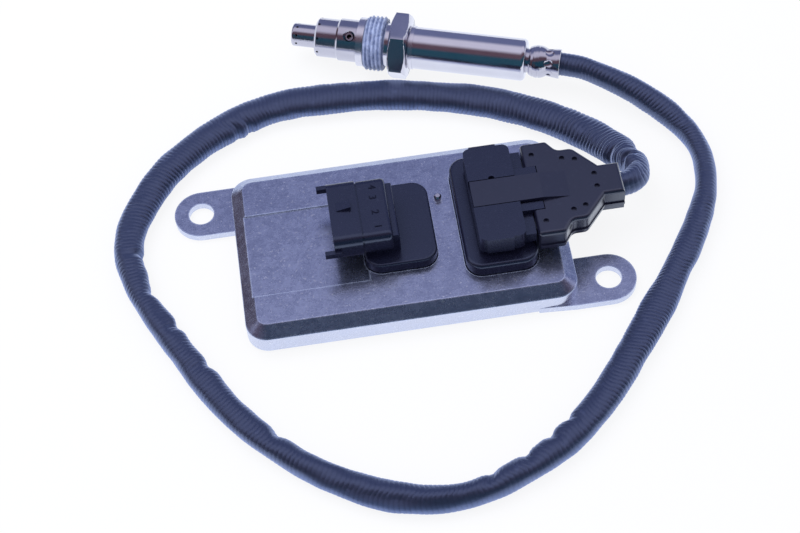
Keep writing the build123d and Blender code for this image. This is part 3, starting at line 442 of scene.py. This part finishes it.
def sleeveFinish():
    values = {"valley": (0.002, 0.002, 0.004), "rib": (0.011, 0.011, 0.019), "wearAndHighlight": (0.05, 0.06, 0.12),
              "paintedLight": (0.110, 0.158, 0.320), "gloss": (0.44, 0.57, 1.0)}
    s = newMaterial("sleeveFinish")
    u, v, _ = s.split(s.node("ShaderNodeUVMap", {"uv_map": "sleeve"}))
    place = s.place()
    raised = s.node("ShaderNodeAttribute", {"attribute_name": "crest"}, out=2)
    strands = s.grain(s.node("ShaderNodeCombineXYZ", values={0: u * 150, 1: v * 420, 2: 0.0}), 1.0, 2.0)
    fibre = s.grain(place, 2600, 2.0)
    patch = s.grain(place, 60, 3.0)
    slump = s.grain(place, 240, 4.0)
    # painted shade: base colour is darker in the rib valleys and paler on the crests, following the crest attribute
    body = raised * (fibre * 0.4 + strands * 0.3 + 0.45) * (patch * 0.7 + 0.55)
    colour = s.blend(body, values["valley"], values["rib"])
    low = 1 - s.split(place)[2].over(5.6 * mm, 1.3 * mm)  # paler towards the bottom: painted light from the white table on the lower flanks, strongest on the rib crests
    colour = s.blend(low * (raised * 0.65 + 0.15) * (patch + 0.4), colour, values["paintedLight"])
    colour = s.blend(slump.over(0.68, 0.08) * 0.30, colour, values["wearAndHighlight"])
    height = strands * 0.5 + fibre * 0.3 + slump * 0.6
    return s.finish(Base_Color=colour, Roughness=0.36 + fibre * 0.12 + patch * 0.06 - raised * 0.06,
                    Normal=s.bump(height, 0.30, 0.0002), IOR=2.3, Specular_IOR_Level=0.60,
                    Specular_Tint=values["gloss"], Sheen_Weight=0.9, Sheen_Roughness=0.45,
                    Sheen_Tint=values["gloss"], Coat_Weight=0.25, Coat_Roughness=0.30, Coat_IOR=1.5)


dress(sleeve, sleeveFinish())

# union nut, with the true form of its thread
nut = {
    "centre": (11.9, 81.7, 11.0),
    "axis": (0.946649, -0.322266, 0.0),
    "across": (0.322266, 0.946649, 0.0),
    "bore": 6.1,
    "thread": (-12.75, -5.65),  # places along the axis, in mm
    "crest": 10.0,
    "depth": 0.92,
    "pitch": 1.5,
    "frontChamfer": 1.0,
    "backChamfer": 0.6,
    "relief": 7.8,
    "hexagon": (-3.25, 3.25),
    "flat": 11.0,
    "corner": 10.7,
    "grooveWidth": 1.18,
    "grooveSlope": 1.30,
    "open": 0.85,  # share of the groove's depth that the paste leaves open, and how it varies
    "openSpread": 0.15,
    "openWaves": (4, 1.3),  # around the axis and along it
    "around": 96,
    "rowStep": 0.15,
    "chamferStep": 0.12,
    "chamferRows": 9,
    "smoothAngle": 38,
}


def threadRadius(values, s, angle):
    start, end = values["thread"]
    turn = ((s - start) / values["pitch"] - angle / (2 * math.pi)) % 1.0
    groove = min(1.0, max(0.0, values["grooveWidth"] - abs(turn - 0.5) * 2 * values["grooveSlope"]))
    around, along = values["openWaves"]
    place = Vector((math.cos(angle) * around, math.sin(angle) * around, s * along))
    opened = values["open"] + values["openSpread"] * noise.noise(place)
    edge = min((s - start) + values["crest"] - values["frontChamfer"],
               (end - s) + values["crest"] - values["backChamfer"])
    return min(values["crest"] - groove * values["depth"] * opened, edge)


def hexagonRadius(values, s, angle):
    start, end = values["hexagon"]
    sector = angle % (math.pi / 3) - math.pi / 6
    return min(values["flat"] / math.cos(sector), values["corner"] + 2 * min(s - start, end - s))


def latheRows(values):
    threadStart, threadEnd = values["thread"]
    hexStart, hexEnd = values["hexagon"]
    count = round((threadEnd - threadStart) / values["rowStep"])
    chamfer = [index * values["chamferStep"] for index in range(values["chamferRows"])]
    rows = [(hexEnd, lambda s, angle: values["bore"]), (threadStart, lambda s, angle: values["bore"])]
    for index in range(count + 1):
        s = threadStart + (threadEnd - threadStart) * index / count
        rows.append((s, lambda s, angle: threadRadius(values, s, angle)))
    rows += [(threadEnd, lambda s, angle: values["relief"]), (hexStart, lambda s, angle: values["relief"])]
    rows += [(hexStart + step, lambda s, angle: hexagonRadius(values, s, angle)) for step in chamfer]
    rows += [(hexEnd - step, lambda s, angle: hexagonRadius(values, s, angle)) for step in reversed(chamfer)]
    return rows + [rows[0]]


def rolledNut(name, values):
    rows, around = latheRows(values), values["around"]
    bpy.ops.object.select_all(action="DESELECT")
    bpy.ops.mesh.primitive_grid_add(x_subdivisions=len(rows) - 1, y_subdivisions=around, size=1)
    made = bpy.context.object
    made.name = name
    centre, axis, across = (Vector(values[key]) for key in ("centre", "axis", "across"))
    for vertex in made.data.vertices:
        s, radius = rows[round((vertex.co.x + 0.5) * (len(rows) - 1))]
        angle = 2 * math.pi * (round((vertex.co.y + 0.5) * around) % around) / around
        out = across * math.cos(angle) + Vector((0, 0, math.sin(angle)))
        vertex.co = (centre + axis * s + out * radius(s, angle)) * mm
    bpy.ops.object.mode_set(mode="EDIT")
    bpy.ops.mesh.select_all(action="SELECT")
    bpy.ops.mesh.remove_doubles(threshold=1e-6)
    bpy.ops.mesh.normals_make_consistent(inside=False)
    bpy.ops.object.mode_set(mode="OBJECT")
    bpy.ops.object.shade_smooth_by_angle(angle=math.radians(values["smoothAngle"]))
    return made


threadedNut = rolledNut("threadedNut", nut)
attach(threadedNut, "nut")
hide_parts("union_nut")
print("nut cut", len(threadedNut.data.polygons))


def nutFinish():
    values = {"dark": (0.56, 0.55, 0.62), "light": (0.78, 0.77, 0.84), "paste": (0.17, 0.22, 0.40),
              "pasteLight": (0.62, 0.70, 0.92), "pasteDark": (0.07, 0.09, 0.20)}
    s = newMaterial("nutFinish")
    place = s.place()
    spoke = s.node("ShaderNodeVectorMath", {"operation": "SUBTRACT"},
                   {0: place, 1: [value * mm for value in nut["centre"]]})
    run = s.along(spoke, nut["axis"])
    reach = s.node("ShaderNodeVectorMath", {"operation": "LENGTH"}, {0: spoke}, out=1)
    span = reach * reach - run * run
    ridgePaintedLight = s.node("ShaderNodeMath", {"operation": "SQRT"}, {0: span}).over(9.55 * mm, 0.35 * mm)
    fine = s.grain(place, 1900, 2.0)
    smear = s.grain(place, 120, 3.0)
    strand = s.grain(place, 420, 4.0, 0.65)
    coated = run.within(-13.2 * mm, -5.2 * mm, 0.25 * mm) * strand.over(0.30, 0.10)
    steel = s.blend(smear * 0.6 + fine * 0.3, values["dark"], values["light"])
    # painted light and shade: the paste is paler on the thread crests and darker in the grooves
    paste = s.blend(ridgePaintedLight * 0.50 + strand.over(0.52, 0.12) * 0.45, values["paste"], values["pasteLight"])
    paste = s.blend(fine.over(0.60, 0.06) * 0.45, paste, values["pasteDark"])
    height = fine * 0.2 + strand * coated * 1.2
    return s.finish(Base_Color=s.blend(coated, steel, paste), Metallic=1 - coated * 0.85,
                    Roughness=0.10 + smear * 0.06 + coated * 0.35, Normal=s.bump(height, 0.35, 0.0002))


dress(threadedNut, nutFinish())


def castFinish(name, values):
    s = newMaterial(name)
    place = s.place()
    x, y, _ = s.split(place)
    fine = s.grain(place, 1500, 3.0)
    mottle = s.grain(place, 320, 5.0, 0.65)
    drift = s.grain(place, 38, 2.0)
    streak = s.grain(s.stretched(place, (60, 900, 900)), 1.0, 3.0)
    fleck = s.grain(place, 1100, 2.0).over(0.66, 0.03)
    tone = mottle.over(0.5, 0.20) * 0.45 + fine.over(0.5, 0.20) * 0.35 + streak * 0.20
    # painted highlight: lighter, less metallic base colour along the rounded edges, where fillets catch the light
    wearAndHighlight = 1 - s.node("ShaderNodeVectorMath", {"operation": "DOT_PRODUCT"}, {
        0: s.node("ShaderNodeBevel", {"samples": 4}, {"Radius": 0.7 * mm}),
        1: s.node("ShaderNodeNewGeometry", out=1)}, out=1)
    edge = wearAndHighlight.over(0.022, 0.018) * (mottle * 0.8 + 0.35)
    colour = s.blend(tone, values["dark"], values["light"])
    colour = s.blend(drift.over(0.52, 0.2) * 0.25, colour, values["dark"])
    # painted light: upright faces take the paler side colour, which stands for the white table's reflection
    facing = s.split(s.node("ShaderNodeNewGeometry", out=1))[2]
    uprightPaintedLight = facing.within(-0.3, 0.3, 0.1)
    colour = s.blend(uprightPaintedLight * (0.75 - mottle * 0.4), colour, values["side"])
    colour = s.blend(fleck * values["flecks"], colour, values["fleck"])
    colour = s.blend(edge, colour, values["paintedLight"])
    if "scratch" in values:
        (x0, y0), (x1, y1) = values["scratch"]
        length = math.hypot(x1 - x0, y1 - y0)
        ux, uy = (x1 - x0) / length, (y1 - y0) / length
        run = (x - x0) * ux + (y - y0) * uy
        off = (x - x0) * uy - (y - y0) * ux
        line = off.within(-0.06 * mm, 0.06 * mm, 0.04 * mm) * run.within(0.0, length, 0.3 * mm)
        colour = s.blend(line * 0.75, colour, values["scratchColour"])
    height = fine * 0.5 + mottle * 0.5
    return s.finish(Base_Color=colour, Metallic=values["metal"] - edge * 0.5,
                    Roughness=values["rough"] + mottle * 0.16 - drift * 0.06,
                    Normal=s.bump(height, 0.22, 0.0002))


castAluminium = castFinish("castAluminium", {
    "dark": (0.28, 0.32, 0.48), "light": (0.53, 0.59, 0.80), "fleck": (0.92, 0.94, 1.0), "flecks": 0.45,
    "side": (0.84, 0.85, 0.93), "paintedLight": (0.62, 0.70, 0.92), "metal": 0.96, "rough": 0.22,
    "scratch": ((0.0183, -0.0202), (0.0229, -0.0251)), "scratchColour": (0.12, 0.13, 0.25)})
sheetAluminium = castFinish("sheetAluminium", {
    "dark": (0.42, 0.43, 0.52), "light": (0.55, 0.56, 0.66), "fleck": (0.75, 0.75, 0.80), "flecks": 0.3,
    "side": (0.70, 0.71, 0.78), "paintedLight": (0.62, 0.66, 0.78), "metal": 0.9, "rough": 0.30})


def plasticFinish(name, values):
    s = newMaterial(name)
    place = s.place()
    grainy = s.grain(place, 3200, 2.0)
    cloud = s.grain(place, 90, 3.0)
    dust = s.grain(place, 900, 4.0, 0.7).over(0.64, 0.05)
    colour = s.blend(cloud, values["dark"], values["light"])
    colour = s.blend(dust * values["dust"], colour, (0.10, 0.11, 0.18))
    rough = values["rough"] + grainy * 0.12 + dust * 0.1 - cloud * 0.06
    return s.finish(Base_Color=colour, Roughness=rough, Normal=s.bump(grainy, 0.12, 0.0001), IOR=values["ior"],
                    Specular_IOR_Level=values["shine"], Specular_Tint=(0.56, 0.69, 1.0),
                    Coat_Weight=values["coat"], Coat_Roughness=values["rough"], Coat_IOR=1.55)


blackPlastic = plasticFinish("blackPlastic", {
    "dark": (0.005, 0.005, 0.014), "light": (0.008, 0.008, 0.022), "dust": 0.10, "rough": 0.24, "ior": 1.7,
    "shine": 0.7, "coat": 0.1})
plugPlastic = plasticFinish("plugPlastic", {
    "dark": (0.004, 0.004, 0.012), "light": (0.007, 0.007, 0.020), "dust": 0.10, "rough": 0.28, "ior": 1.9,
    "shine": 0.40, "coat": 0.8})
markPlastic = plasticFinish("markPlastic", {
    "dark": (0.003, 0.003, 0.010), "light": (0.005, 0.005, 0.014), "dust": 0.0, "rough": 0.35, "ior": 1.5,
    "shine": 0.4, "coat": 0.0})
sealRubber = plasticFinish("sealRubber", {
    "dark": (0.008, 0.008, 0.010), "light": (0.014, 0.014, 0.017), "dust": 0.1, "rough": 0.62, "ior": 1.5,
    "shine": 0.35, "coat": 0.0})


def steelFinish(name, values):
    s = newMaterial(name)
    place = s.place()
    fine = s.grain(place, 1900, 2.0)
    smear = s.grain(place, 120, 3.0)
    colour = s.blend(smear * 0.6 + fine * 0.3, values["dark"], values["light"])
    return s.finish(Base_Color=colour, Metallic=1.0, Roughness=values["rough"] + smear * values["spread"],
                    Normal=s.bump(fine, values["bump"], 0.0001))


polishedSteel = steelFinish("polishedSteel", {
    "dark": (0.62, 0.61, 0.68), "light": (0.78, 0.78, 0.85), "rough": 0.10, "spread": 0.08, "bump": 0.05})
drawnSteel = steelFinish("drawnSteel", {
    "dark": (0.48, 0.47, 0.54), "light": (0.68, 0.67, 0.75), "rough": 0.11, "spread": 0.08, "bump": 0.06})
nutSteel = steelFinish("nutSteel", {
    "dark": (0.66, 0.65, 0.72), "light": (0.84, 0.83, 0.90), "rough": 0.20, "spread": 0.10, "bump": 0.06})
tinPlate = steelFinish("tinPlate", {
    "dark": (0.66, 0.66, 0.66), "light": (0.84, 0.84, 0.83), "rough": 0.25, "spread": 0.12, "bump": 0.05})


def ceramicFinish(name, low, high):
    s = newMaterial(name)
    place = s.place()
    cloud = s.grain(place, 300, 4.0)
    return s.finish(Base_Color=s.blend(cloud, low, high), Roughness=0.7 + cloud * 0.1,
                    Normal=s.bump(s.grain(place, 2400, 2.0), 0.15, 0.0001))


whiteCeramic = ceramicFinish("whiteCeramic", (0.74, 0.72, 0.66), (0.86, 0.85, 0.80))
pressedTalc = ceramicFinish("pressedTalc", (0.62, 0.62, 0.58), (0.76, 0.76, 0.71))
boardMask = ceramicFinish("boardMask", (0.010, 0.070, 0.030), (0.016, 0.110, 0.045))

# position numbers moulded on the supply connector's top
numbers = {
    "marks": {"4": (-7.8, 8.8), "3": (-8.1, 4.5), "2": (-8.0, -1.6), "1": (-7.8, -7.5)},
    "top": 26.1,
    "size": 3.5,
    "sunk": 0.10,
    "proud": 0.18,
}


def raisedNumber(mark, spot, values):
    bpy.ops.object.select_all(action="DESELECT")
    bpy.ops.object.text_add()
    made = bpy.context.object
    made.data.body = mark
    made.data.size = values["size"] * mm
    made.data.align_x = "CENTER"
    made.data.align_y = "CENTER"
    made.data.extrude = (values["sunk"] + values["proud"]) / 2 * mm
    bpy.ops.object.convert(target="MESH")
    middle = values["top"] + (values["proud"] - values["sunk"]) / 2
    made.data.transform(Matrix.Translation(Vector((*spot, middle)) * mm) @ Matrix.Rotation(-math.pi / 2, 4, "Z"))
    return made


marks = [raisedNumber(mark, spot, numbers) for mark, spot in numbers["marks"].items()]
bpy.ops.object.select_all(action="DESELECT")
for mark in marks:
    mark.select_set(True)
bpy.context.view_layer.objects.active = marks[0]
bpy.ops.object.join()
positionNumbers = marks[0]
positionNumbers.name = "positionNumbers"
dress(positionNumbers, markPlastic)
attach(positionNumbers, "unit")
print("numbers set")

finishes = {
    "housing": castAluminium, "base_plate": sheetAluminium, "base_seal": sealRubber, "vent_pin": nutSteel,
    "circuit_board": boardMask, "board_components": blackPlastic,
    "supply_header": blackPlastic, "supply_pins": tinPlate, "supply_gasket": sealRubber,
    "sensor_header": blackPlastic, "sensor_header_pins": tinPlate, "sensor_gasket": sealRubber,
    "plug_cover": plugPlastic, "plug_body": plugPlastic, "plug_contacts": tinPlate, "plug_seal": sealRubber,
    "neck_grommet": sealRubber, "cable_sleeve": sealRubber,
    "union_nut": nutSteel, "probe_shell": nutSteel,
    "outer_protection_tube": drawnSteel, "inner_protection_tube": drawnSteel,
    "sensor_element": whiteCeramic, "front_insulator": whiteCeramic, "talc_seal": pressedTalc,
    "rear_insulator": whiteCeramic, "contact_holder": whiteCeramic, "cable_grommet": sealRubber,
    "rear_sleeve": polishedSteel, "crimp_ferrule": drawnSteel,
}
for nodeName, material in finishes.items():
    dress(nodes[nodeName], material)
print("finishes on")
